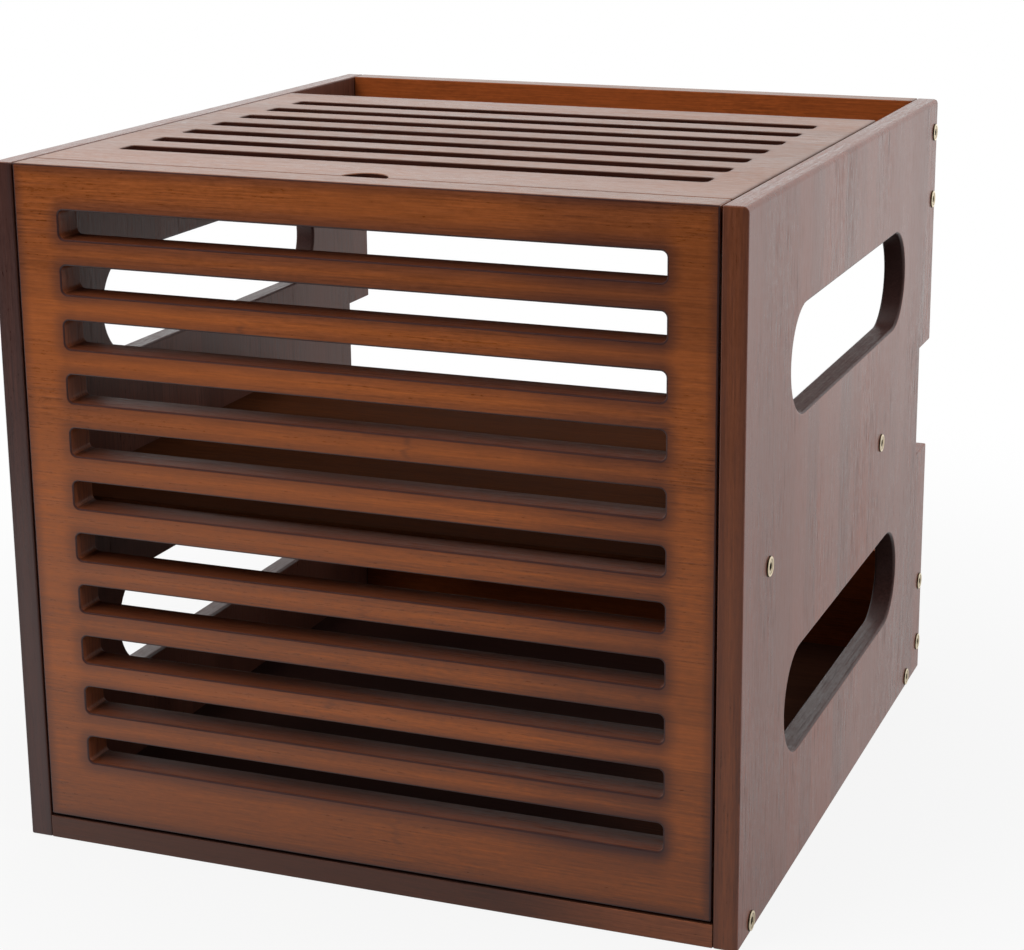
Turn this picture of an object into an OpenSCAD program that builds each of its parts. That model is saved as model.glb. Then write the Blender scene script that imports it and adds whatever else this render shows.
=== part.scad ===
// Two-tier storage box for a network router, built from bamboo boards.
// The lid swings up on two pins near its rear corners. The slotted front drops forward on
// two pins near its lower corners. The carcass is screwed together through the side panels.
// Front of the box faces -Y, its left side is at -X, and it stands on Z = 0.

/* [Case] */
// Overall width over the two side panels
case_w = 330; // [280:1:420]
// Overall depth of the side panels
case_d = 340; // [300:1:420]
// Overall height of the side panels
case_h = 304; // [296:1:360]

/* [Boards] */
// Thickness of each side panel
side_t = 10.5; // [9.5:0.5:16]
// Thickness of the base board
base_t = 10.5; // [9.5:0.5:14]
// Thickness of the middle shelf
shelf_t = 10.5; // [9.5:0.5:14]
// Thickness of the lid
lid_t = 10.5; // [9:0.5:14]
// Thickness of the front door
door_t = 15; // [12:0.5:18]
// Thickness of both rear rails
rail_t = 12; // [9.5:0.5:18]
// Height of each rear rail
rail_h = 66; // [50:1:80]
// Depth of the lid, front edge to rear edge
lid_d = 236; // [225:1:250]
// Depth of the middle shelf
shelf_d = 240; // [200:1:260]
// Height of the middle of the shelf above the ground
shelf_mid = 152; // [146:1:158]
// Round-over along the top outer edge of each side panel
top_round = 2.5; // [1:0.5:5]

/* [Clearances] */
// Gap between the door or lid and each side panel
side_gap = 0.8; // [0.5:0.1:2]
// Gap between the door and the base board under it
sill_gap = 1; // [0.9:0.1:2]
// Gap from the door's back face to the lid and the shelf
seam_gap = 0.4; // [0.3:0.1:1]
// Gap between the closed lid and the cleats that it rests on
rest_gap = 0.2; // [0.1:0.1:0.5]
// Radial clearance of a swinging board on its pin
pin_play = 0.05; // [0.03:0.01:0.1]
// Radial clearance round a part that is glued or screwed into its hole
set_play = 0.02; // [0.01:0.01:0.05]

/* [Handle holes] */
// Distance from the front and rear edges of the panel to a handle hole
handle_inset = 66; // [55:1:80]
// Height of a handle hole, which has half-round ends
handle_h = 46; // [36:1:50]
// Height of a handle hole's middle above or below the middle of the shelf
handle_rise = 75; // [68:1:80]
// Round-over of a handle hole's edges on both faces
handle_round = 1.5; // [1:0.5:3]

/* [Cable notches] */
// Depth of the notch in the rear edge of each side panel
notch_d = 24; // [14:1:30]
// Height of the notch, half above and half below the middle of the shelf
notch_h = 56; // [30:1:70]

/* [Door slots] */
// Number of slots across the door
door_slots = 11; // [6:1:11]
// Height of a door slot
door_slot_h = 12.2; // [8:0.1:15]
// Distance from the top edge of the door to the middle of its first slot
door_slot_top = 25; // [18:0.5:30]
// Distance from the lower edge of the door to the middle of its last slot
door_slot_bottom = 33.5; // [30:0.5:45]
// Solid margin beside the slots of the door and the lid
slot_margin = 20.7; // [17:0.1:40]
// Corner radius of the door and lid slots
slot_corner = 2.5; // [1:0.5:4]

/* [Lid slots] */
// Number of slots in the lid
lid_slots = 7; // [4:1:7]
// Width of a lid slot, front to back
lid_slot_w = 12; // [8:0.5:15]
// Distance from the front edge of the lid to the middle of its first slot
lid_slot_front = 40; // [30:1:45]
// Distance from the rear edge of the lid to the middle of its last slot
lid_slot_rear = 34; // [20:1:45]
// Radius of the finger notch in the front edge of the lid
finger_r = 10; // [8:0.5:14]

/* [Screws] */
// Head diameter of a case screw
head_d = 8.4; // [7:0.1:9.4]
// Height of the screw head above the panel
head_proud = 0.8; // [0.4:0.1:2]
// Depth of the head's seat below the face of the panel
head_seat = 0.6; // [0.2:0.1:1.5]
// Width of the shallow ring between the head and the edge of its seat
head_ring = 0.2; // [0.1:0.05:0.4]
// Shank diameter of a case screw
shank_d = 4.4; // [4:0.1:5]
// Length of a case screw under its head
screw_len = 32; // [22:1:40]
// Hex socket size of a case screw, across its flats
hex_af = 3; // [2:0.1:3.2]
// Depth of the hex socket from the top of the head
hex_depth = 2; // [1:0.1:3]
// Distance from the front and rear edges of the base board to its screws
base_screw_inset = 19; // [12:1:40]
// Distance from the front and rear edges of the shelf to its screws
shelf_screw_inset = 22; // [16:1:40]
// Distance from the long edges of a rear rail to its screws
rail_screw_inset = 16; // [14:1:22]

/* [Pivot pins] */
// Diameter of the four pivot pins
pin_d = 4; // [3:0.5:5]
// Length of a pin inside the lid or the door
pin_in = 14; // [8:1:16]
// Depth of a pin's blind hole in its side panel
pin_seat = 7; // [5:0.5:7.5]
// Distance from the rear edge of the lid to its pins
lid_pin_inset = 6; // [5.5:0.5:12]
// Distance from the front face of the door to its pins
door_pin_front = 5.5; // [4.5:0.1:5.8]
// Height of the door's pins above its lower edge
door_pin_rise = 24; // [20:1:30]

/* [Lid rests] */
// Width of a cleat, out from the side panel
rest_w = 10; // [6:1:15]
// Length of a cleat, front to back
rest_len = 40; // [20:1:60]
// Height of a cleat
rest_h = 9; // [5:0.5:14]
// Distance from the front edge of the lid to a cleat
rest_inset = 12; // [6:1:40]

/* [Door catch] */
// Diameter of the magnets in the shelf and the keepers in the door
magnet_d = 6; // [4:0.5:7]
// Thickness of a magnet
magnet_t = 3; // [2:0.5:5]
// Thickness of a steel keeper disc
keeper_t = 1.5; // [1:0.5:3]
// Distance from a side panel to the middle of its magnet
magnet_inset = 10.5; // [6:0.5:12]

/* [Hidden] */

// Overshoot that keeps a cut from ending on a face
past = 1;
// Length that a hole goes on past the end of its pin or screw
hole_end = 1;

// Colours of the stained boards and the metal
front_brown = [0.52, 0.27, 0.11];
side_brown = [0.42, 0.31, 0.27];
top_brown = [0.55, 0.44, 0.39];
inside_brown = [0.55, 0.30, 0.13];
brass = [0.80, 0.72, 0.55];
steel = [0.70, 0.71, 0.73];

// Carcass
inner_w = case_w - 2 * side_t;
front_y = -case_d / 2;
rear_y = case_d / 2;
rail_front = rear_y - rail_t;
rail_mid = rear_y - rail_t / 2;
handle_len = case_d - 2 * handle_inset;

// Door
door_w = inner_w - 2 * side_gap;
door_z = base_t + sill_gap;
door_h = case_h - door_z;
door_back = front_y + door_t;
door_pin_y = front_y + door_pin_front;
door_pin_z = door_z + door_pin_rise;
door_pitch = (door_h - door_slot_top - door_slot_bottom) / (door_slots - 1);

// Lid
lid_w = door_w;
lid_z = case_h - lid_t;
lid_front = door_back + seam_gap;
lid_pin_y = lid_front + lid_d - lid_pin_inset;
lid_pin_z = case_h - lid_t / 2;
lid_pitch = (lid_d - lid_slot_front - lid_slot_rear) / (lid_slots - 1);
slot_len = door_w - 2 * slot_margin;

// Shelf and upper rail
shelf_front = door_back + seam_gap;
shelf_rear = shelf_front + shelf_d;
upper_rail_z = case_h - rail_h;

// Plane that the screw heads bear on, measured out from the middle of the case
head_x = case_w / 2 - head_seat;

// Screws through each side panel, as [Y, Z]
base_screws_at = [
    for (y = [front_y + base_screw_inset, rail_front - base_screw_inset]) [y, base_t / 2]
];
shelf_screws_at = [
    for (y = [shelf_front + shelf_screw_inset, shelf_rear - shelf_screw_inset]) [y, shelf_mid]
];
lower_rail_screws_at = [
    for (z = [rail_screw_inset, rail_h - rail_screw_inset]) [rail_mid, z]
];
upper_rail_screws_at = [
    for (z = [rail_screw_inset, rail_h - rail_screw_inset]) [rail_mid, upper_rail_z + z]
];

// Helpers

// The children, and their mirror image on the left of the case
module both_sides() {
    for (s = [0, 1]) mirror([s, 0, 0]) children();
}

// Round bar along X from a to b
module bar_x(a, b, d) {
    translate([a, 0, 0]) rotate([0, 90, 0]) cylinder(h = b - a, d = d, $fn = 24);
}

// Round bar along Y from a to b
module bar_y(a, b, d) {
    translate([0, a, 0]) rotate([-90, 0, 0]) cylinder(h = b - a, d = d, $fn = 24);
}

// Rectangle with round corners, centred
module slot(len, w, r) {
    square([len - 2 * r, w], center = true);
    square([len, w - 2 * r], center = true);
    for (x = [-1, 1], y = [-1, 1])
        translate([x * (len / 2 - r), y * (w / 2 - r)]) circle(r, $fn = 16);
}

// Long hole with half-round ends, centred
module handle_hole() {
    square([handle_len - handle_h, handle_h], center = true);
    for (x = [-1, 1])
        translate([x * (handle_len - handle_h) / 2, 0]) circle(d = handle_h, $fn = 36);
}

// Section of what a round-over takes off an edge at the origin: the material lies
// towards +X and below Y = 0
module edge_waste(r) {
    difference() {
        translate([-past, -r]) square(r + past);
        translate([r, -r]) circle(r, $fn = 16);
    }
}

// What the round-over takes off the rim of a handle hole in the face Z = 0
module handle_rim_waste() {
    straight = handle_len - handle_h;
    for (turn = [0, 180]) rotate([0, 0, turn]) {
        translate([-straight / 2, handle_h / 2, 0]) rotate([90, 0, 90])
            linear_extrude(straight) edge_waste(handle_round);
        translate([straight / 2, 0, 0]) rotate([0, 0, -90])
            rotate_extrude(angle = 180, $fn = 36)
                translate([handle_h / 2, 0]) edge_waste(handle_round);
    }
}

// Seats for the heads and holes for the shanks of the screws at the given places
module screw_cuts(places) {
    both_sides() for (at = places) translate([0, at[0], at[1]]) {
        bar_x(head_x, case_w / 2 + past, head_d + 2 * head_ring);
        bar_x(head_x - screw_len - hole_end, head_x + past, shank_d + 2 * set_play);
    }
}

// Screws at the given places on both sides of the case
module screws(places) {
    color(brass) both_sides() for (at = places) translate([0, at[0], at[1]])
        difference() {
            union() {
                bar_x(head_x - screw_len, head_x, shank_d);
                bar_x(head_x, case_w / 2 + head_proud, head_d);
            }
            translate([case_w / 2 + head_proud - hex_depth, 0, 0]) rotate([0, 90, 0])
                cylinder(h = hex_depth + past, d = hex_af / cos(30), $fn = 6);
        }
}

// Pivot pin on the right-hand side at the given place, fixed in the side panel
module pivot_pin(y, z) {
    color(steel) translate([0, y, z])
        bar_x(inner_w / 2 - side_gap - pin_in, inner_w / 2 + pin_seat, pin_d);
}

// Holes in a swinging board for its two pivot pins
module pivot_holes(y, z) {
    both_sides() translate([0, y, z])
        bar_x(door_w / 2 - pin_in - hole_end, door_w / 2 + past, pin_d + 2 * pin_play);
}

// Carcass

// Right-hand side panel, seen from the side
module side_outline() {
    difference() {
        translate([front_y, 0]) square([case_d, case_h]);
        for (s = [-1, 1]) translate([0, shelf_mid + s * handle_rise]) handle_hole();
        translate([rear_y - notch_d, shelf_mid - notch_h / 2])
            square([notch_d + past, notch_h]);
    }
}

// Right-hand side panel
module side_panel() {
    color(side_brown) difference() {
        translate([inner_w / 2, 0, 0]) rotate([90, 0, 90])
            linear_extrude(side_t) side_outline();
        // Round top outer edge
        translate([case_w / 2, front_y - past, case_h]) rotate([90, 0, 180])
            linear_extrude(case_d + 2 * past) edge_waste(top_round);
        // Round rims of the handle holes, outside and inside
        for (s = [-1, 1], face = [[case_w / 2, 90], [inner_w / 2, -90]])
            translate([face[0], 0, shelf_mid + s * handle_rise])
                rotate([90, 0, face[1]]) handle_rim_waste();
        // Blind holes for the pivot pins of the lid and the door
        for (at = [[lid_pin_y, lid_pin_z], [door_pin_y, door_pin_z]])
            translate([0, at[0], at[1]])
                bar_x(inner_w / 2 - past, inner_w / 2 + pin_seat, pin_d + 2 * set_play);
        screw_cuts(concat(base_screws_at, shelf_screws_at));
        screw_cuts(concat(lower_rail_screws_at, upper_rail_screws_at));
    }
}

module side_panel_right() side_panel();

module side_panel_left() mirror([1, 0, 0]) side_panel();

// Board under the case, with its front edge in sight below the door
module base_board() {
    color(front_brown) difference() {
        translate([-inner_w / 2, front_y, 0]) cube([inner_w, case_d - rail_t, base_t]);
        screw_cuts(base_screws_at);
    }
}

// Board between the lower and the upper tier
module middle_shelf() {
    color(inside_brown) difference() {
        translate([-inner_w / 2, shelf_front, shelf_mid - shelf_t / 2])
            cube([inner_w, shelf_d, shelf_t]);
        screw_cuts(shelf_screws_at);
        both_sides() translate([inner_w / 2 - magnet_inset, 0, shelf_mid])
            bar_y(shelf_front - past, shelf_front + magnet_t, magnet_d + 2 * set_play);
    }
}

// Board across the back of the case
module rear_rail(z, screws_at) {
    color(inside_brown) difference() {
        translate([-inner_w / 2, rail_front, z]) cube([inner_w, rail_t, rail_h]);
        screw_cuts(screws_at);
    }
}

module upper_rear_rail() rear_rail(upper_rail_z, upper_rail_screws_at);

module lower_rear_rail() rear_rail(0, lower_rail_screws_at);

module base_screws() screws(base_screws_at);

module shelf_screws() screws(shelf_screws_at);

module upper_rail_screws() screws(upper_rail_screws_at);

module lower_rail_screws() screws(lower_rail_screws_at);

// Front door

// Slotted front that swings down on its two pins
module front_door() {
    color(front_brown) difference() {
        translate([0, door_back, door_z]) rotate([90, 0, 0])
            linear_extrude(door_t) difference() {
                translate([-door_w / 2, 0]) square([door_w, door_h]);
                for (i = [0 : door_slots - 1])
                    translate([0, door_h - door_slot_top - i * door_pitch])
                        slot(slot_len, door_slot_h, slot_corner);
            }
        pivot_holes(door_pin_y, door_pin_z);
        both_sides() translate([inner_w / 2 - magnet_inset, 0, shelf_mid])
            bar_y(door_back - keeper_t, door_back + past, magnet_d + 2 * set_play);
    }
}

module door_pivot_pin_right() pivot_pin(door_pin_y, door_pin_z);

module door_pivot_pin_left() mirror([1, 0, 0]) door_pivot_pin_right();

// Magnet let into the front edge of the shelf
module door_magnet_right() {
    color(steel) translate([inner_w / 2 - magnet_inset, 0, shelf_mid])
        bar_y(shelf_front, shelf_front + magnet_t, magnet_d);
}

module door_magnet_left() mirror([1, 0, 0]) door_magnet_right();

// Steel disc let into the back of the door, opposite its magnet
module door_keeper_right() {
    color(steel) translate([inner_w / 2 - magnet_inset, 0, shelf_mid])
        bar_y(door_back - keeper_t, door_back, magnet_d);
}

module door_keeper_left() mirror([1, 0, 0]) door_keeper_right();

// Lid

// Slotted lid that swings up on its two pins
module lid() {
    color(top_brown) difference() {
        translate([0, lid_front, lid_z]) linear_extrude(lid_t) difference() {
            translate([-lid_w / 2, 0]) square([lid_w, lid_d]);
            for (i = [0 : lid_slots - 1])
                translate([0, lid_slot_front + i * lid_pitch])
                    slot(slot_len, lid_slot_w, slot_corner);
            circle(finger_r, $fn = 36);
        }
        pivot_holes(lid_pin_y, lid_pin_z);
    }
}

module lid_pivot_pin_right() pivot_pin(lid_pin_y, lid_pin_z);

module lid_pivot_pin_left() mirror([1, 0, 0]) lid_pivot_pin_right();

// Cleat on the side panel that the closed lid rests on
module lid_rest_right() {
    color(inside_brown)
        translate([inner_w / 2 - rest_w, lid_front + rest_inset, lid_z - rest_gap - rest_h])
            cube([rest_w, rest_len, rest_h]);
}

module lid_rest_left() mirror([1, 0, 0]) lid_rest_right();

side_panel_left();
side_panel_right();
base_board();
middle_shelf();
front_door();
lid();
upper_rear_rail();
lower_rear_rail();
base_screws();
shelf_screws();
upper_rail_screws();
lower_rail_screws();
lid_pivot_pin_left();
lid_pivot_pin_right();
door_pivot_pin_left();
door_pivot_pin_right();
lid_rest_left();
lid_rest_right();
door_magnet_left();
door_magnet_right();
door_keeper_left();
door_keeper_right();
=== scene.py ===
import math

import bmesh
import bpy
from mathutils import Matrix, Vector


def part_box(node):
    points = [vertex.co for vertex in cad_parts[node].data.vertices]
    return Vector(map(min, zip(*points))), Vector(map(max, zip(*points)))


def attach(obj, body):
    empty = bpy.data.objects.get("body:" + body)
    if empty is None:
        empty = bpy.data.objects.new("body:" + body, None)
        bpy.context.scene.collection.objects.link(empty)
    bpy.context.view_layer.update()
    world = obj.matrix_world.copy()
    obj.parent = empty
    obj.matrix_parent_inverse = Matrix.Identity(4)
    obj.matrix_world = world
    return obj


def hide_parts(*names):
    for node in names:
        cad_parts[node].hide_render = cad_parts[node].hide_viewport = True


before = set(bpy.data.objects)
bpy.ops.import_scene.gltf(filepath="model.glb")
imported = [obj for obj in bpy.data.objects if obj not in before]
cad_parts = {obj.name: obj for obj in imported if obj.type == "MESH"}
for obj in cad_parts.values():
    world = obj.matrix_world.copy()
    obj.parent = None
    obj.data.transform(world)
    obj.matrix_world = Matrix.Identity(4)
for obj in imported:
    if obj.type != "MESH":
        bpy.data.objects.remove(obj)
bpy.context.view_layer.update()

MM = 0.001
X, Y, Z = range(3)
WHITE = (1, 1, 1)

# Camera: its place, its turn, tilt and roll in radians, and its lens in pixels of the frame
EYE = (0.400298, -0.986674, 0.449861)
EYE_TURN, EYE_TILT, EYE_ROLL = 0.345668, 0.248382, -0.000223
FRAME_W, FOCAL_LENGTH, SHIFT = 1024, 2316.14, (-88, -87)
SENSOR_W = 36

# Case
CASE_W, CASE_D, CASE_H = 330 * MM, 340 * MM, 304 * MM
SIDE_T = 10.5 * MM
FRONT_Y = -CASE_D / 2
REAR_Y = CASE_D / 2
INNER_X = CASE_W / 2 - SIDE_T

# Handle holes and cable notch in the side panels
HANDLE_L, HANDLE_H = 208 * MM, 46 * MM
HANDLE_Z = (77 * MM, 227 * MM)
NOTCH_D, NOTCH_LOW, NOTCH_HIGH = 24 * MM, 124 * MM, 180 * MM

# Slotted front, which clears each side panel by 0.8 mm and the base board by 1 mm
DOOR_T = 15 * MM
DOOR_W = 2 * INNER_X - 1.6 * MM
DOOR_LOW = 11.5 * MM
DOOR_BACK = FRONT_Y + DOOR_T
DOOR_SLOTS, DOOR_SLOT_TOP, DOOR_PITCH = 11, CASE_H - 25 * MM, 23.4 * MM
DOOR_SLOT_H = 12.2 * MM

# Length and corner radius of the slots in the front and in the lid
SLOT_L, SLOT_R = DOOR_W - 41.4 * MM, 2.5 * MM

# Slotted lid, as wide as the front
LID_T, LID_D = 10.5 * MM, 236 * MM
LID_FRONT = DOOR_BACK + 0.4 * MM
LID_SLOTS, LID_SLOT_FIRST, LID_PITCH = 7, LID_FRONT + 40 * MM, 27 * MM
LID_SLOT_W = 12 * MM
FINGER_R = 10 * MM

# Heights of the middles of the base board and of the shelf, and depth of those of the rails
BASE_Z, SHELF_Z = 5.25 * MM, 152 * MM
RAIL_Y = REAR_Y - 6 * MM

# Pivot pins: their place as (y, z), their radius, and their depth in the board and in the panel
LID_PIN = (LID_FRONT + LID_D - 6 * MM, CASE_H - LID_T / 2)
DOOR_PIN = (FRONT_Y + 5.5 * MM, DOOR_LOW + 24 * MM)
PIN_R, PIN_IN, PIN_SEAT = 2 * MM, 14 * MM, 7 * MM

# Radial play of a pin that turns in its hole, and of what is fixed in its hole
PIN_PLAY, SET_PLAY = 0.05 * MM, 0.02 * MM

# Magnets in the shelf's front edge, and their keepers in the back of the front
MAGNET_X, MAGNET_R, MAGNET_T, KEEPER_T = INNER_X - 10.5 * MM, 3 * MM, 3 * MM, 1.5 * MM

# Screws: the head's radius, what of it stands out and is sunk in, and the gap round it
HEAD_R, HEAD_PROUD, HEAD_SEAT, HEAD_RING = 4.2 * MM, 0.8 * MM, 0.6 * MM, 0.2 * MM
SHANK_R, SCREW_L = 2.2 * MM, 32 * MM
CORE_R, THREAD_PITCH, THREAD_L = 1.7 * MM, 2 * MM, 21 * MM
HEX_AF, HEX_DEPTH = 3 * MM, 2 * MM

# The screws of each board: their node in the CAD, and where they lie on both panels, as (y, z)
SCREWS = {
    "base_board": ("base_screws", [(FRONT_Y + 19 * MM, BASE_Z), (139 * MM, BASE_Z)]),
    "middle_shelf": ("shelf_screws", [(-132.6 * MM, SHELF_Z), (63.4 * MM, SHELF_Z)]),
    "lower_rear_rail": ("lower_rail_screws", [(RAIL_Y, 16 * MM), (RAIL_Y, 50 * MM)]),
    "upper_rear_rail": ("upper_rail_screws", [(RAIL_Y, 254 * MM), (RAIL_Y, 288 * MM)]),
}

# Radius of the eased edges: top of a side panel, its handle holes, stout edges and fine ones
TOP_ROUND, HANDLE_ROUND, STOUT_ROUND, FINE_ROUND = 2.5 * MM, 1.5 * MM, 0.8 * MM, 0.6 * MM

# What turns by more than FOLD is an edge, and its rounding has ROUND_STEPS facets
WIDEST_ROUND, ROUND_STEPS, FOLD = 3 * MM, 4, math.radians(35)

# Rims of drilled holes have no edge as long as this, and stay sharp
DRILLED = 2 * MM

# How far from a plane, or from a point, still counts as on it
TOUCH, NEAR = 0.01 * MM, 0.3 * MM

# Facets of a half circle in an outline, of a slot's corner, of a drilled hole and of a screw
ARC_STEPS, CORNER_STEPS, HOLE_STEPS, SCREW_STEPS = 28, 7, 32, 36

# Bamboo: width of a strip and length of a stalk's segment
STRIP_W, SEGMENT_L = 19 * MM, 0.21


def new_object(name, data):
    """An object with its data, put into the scene."""
    thing = bpy.data.objects.new(name, data)
    bpy.context.scene.collection.objects.link(thing)
    return thing


def rotation(*columns):
    """Matrix that turns the axes X, Y and Z to the given directions."""
    return Matrix(columns).transposed().to_4x4()


def place_camera():
    """Sets the camera where the portrait was taken from."""
    turn, tilt, roll = EYE_TURN, EYE_TILT, EYE_ROLL
    ahead = Vector(
        (-math.sin(turn) * math.cos(tilt), math.cos(turn) * math.cos(tilt), -math.sin(tilt))
    )
    level = Vector((math.cos(turn), math.sin(turn), 0))
    down = -level.cross(ahead)
    right = math.cos(roll) * level + math.sin(roll) * down
    up = math.sin(roll) * level - math.cos(roll) * down
    camera = new_object("camera", bpy.data.cameras.new("camera"))
    camera.matrix_world = Matrix.Translation(EYE) @ rotation(right, up, -ahead)
    lens = camera.data
    lens.sensor_fit, lens.sensor_width = "HORIZONTAL", SENSOR_W
    lens.lens = SENSOR_W * FOCAL_LENGTH / FRAME_W
    lens.shift_x, lens.shift_y = (pixels / FRAME_W for pixels in SHIFT)
    bpy.context.scene.camera = camera


# Node trees


class Link:
    """An output of a node, on which sums can be written as they are in Python."""

    def __init__(self, graph, socket):
        self.graph, self.socket = graph, socket

    def out(self, name):
        """Another output of the same node."""
        return Link(self.graph, self.socket.node.outputs[name])

    def math(self, operation, *others):
        return self.graph.math(operation, self, *others)

    def __add__(self, other):
        return self.graph.math("ADD", self, other)

    __radd__ = __add__

    def __sub__(self, other):
        return self.graph.math("SUBTRACT", self, other)

    def __rsub__(self, other):
        return self.graph.math("SUBTRACT", other, self)

    def __mul__(self, other):
        return self.graph.math("MULTIPLY", self, other)

    __rmul__ = __mul__

    def __truediv__(self, other):
        return self.graph.math("DIVIDE", self, other)


class Graph:
    """A node tree that grows by adding nodes to it."""

    def __init__(self, tree):
        self.tree = tree

    def add(self, kind, settings=None, values=None, output=0):
        """Adds a node, first its settings and then its sockets' values or links, and gives one
        of its outputs."""
        node = self.tree.nodes.new(kind)
        for name, setting in (settings or {}).items():
            setattr(node, name, setting)
        for name, value in (values or {}).items():
            if isinstance(value, Link):
                self.tree.links.new(value.socket, node.inputs[name])
            else:
                node.inputs[name].default_value = value
        return Link(self, node.outputs[output] if node.outputs else None)

    def math(self, operation, *terms):
        """One step of sums."""
        return self.add("ShaderNodeMath", {"operation": operation}, dict(enumerate(terms)))

    def mix(self, factor, first, second):
        """Blends two colours."""
        return self.add(
            "ShaderNodeMix", {"data_type": "RGBA"}, {0: factor, 6: first, 7: second}, 2
        )

    def scale(self, vector, factor):
        """A colour times a number."""
        vector = vector if isinstance(vector, Link) else vector[:3]
        return self.add(
            "ShaderNodeVectorMath", {"operation": "SCALE"}, {0: vector, "Scale": factor}
        )

    def ease(self, value, low, high, start=0.0, end=1.0):
        """Goes smoothly from start to end as value goes from low to high."""
        return self.add(
            "ShaderNodeMapRange",
            {"interpolation_type": "SMOOTHSTEP"},
            {0: value, 1: low, 2: high, 3: start, 4: end},
        )

    def noise(self, place, stretch, detail=3.0, roughness=0.55):
        """Noise from 0 to 1, with so many grains to the metre along each axis."""
        stretched = self.add(
            "ShaderNodeVectorMath", {"operation": "MULTIPLY"}, {0: place, 1: stretch}
        )
        return self.add(
            "ShaderNodeTexNoise",
            None,
            {"Vector": stretched, "Scale": 1.0, "Detail": detail, "Roughness": roughness},
        )

    def join(self, *parts):
        """Puts geometries together, which all go into the one socket of the node."""
        joined = self.add("GeometryNodeJoinGeometry")
        for part in parts:
            self.tree.links.new(part.socket, joined.socket.node.inputs[0])
        return joined

    def chance(self, number):
        """A random number from 0 to 1 that is fixed for each whole number."""
        return self.add("ShaderNodeTexWhiteNoise", {"noise_dimensions": "1D"}, {"W": number})


def tint(red, green, blue):
    """A colour given as it looks on screen, from 0 to 255, as the shader takes it."""
    linear = [
        c / 12.92 if c <= 0.04045 else ((c + 0.055) / 1.055) ** 2.4
        for c in (red / 255, green / 255, blue / 255)
    ]
    return (*linear, 1.0)


# Finishes


def bare_material(name):
    """A new material with only its shader and output, and the graph to wire it in."""
    material = bpy.data.materials.new(name)
    material.use_nodes = True
    graph = Graph(material.node_tree)
    return material, graph, material.node_tree.nodes["Principled BSDF"]


def feed(graph, node, name, value):
    """Links a value to a socket of a node that is there already."""
    graph.tree.links.new(value.socket, node.inputs[name])


def slots_edge(along, across, first, pitch, count, height):
    """Distance to the rim of the nearest slot, which is below 0 in a slot. Along the slots it is
    measured from their middle, and across them from where the first one is."""
    nearest = ((across - first) / pitch).math("ROUND")
    nearest = nearest.math("MAXIMUM", 0).math("MINIMUM", count - 1)
    beside = (across - first - nearest * pitch).math("ABSOLUTE") - (height / 2 - SLOT_R)
    beyond = along.math("ABSOLUTE") - (SLOT_L / 2 - SLOT_R)
    outside = (
        beside.math("MAXIMUM", 0).math("POWER", 2) + beyond.math("MAXIMUM", 0).math("POWER", 2)
    ).math("SQRT")
    inside = beside.math("MAXIMUM", beyond).math("MINIMUM", 0)
    return outside + inside - SLOT_R


def between(value, low, high):
    """Distance to the nearer of two parallel edges, which is below 0 outside them."""
    return (value - low).math("MINIMUM", high - value)


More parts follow.
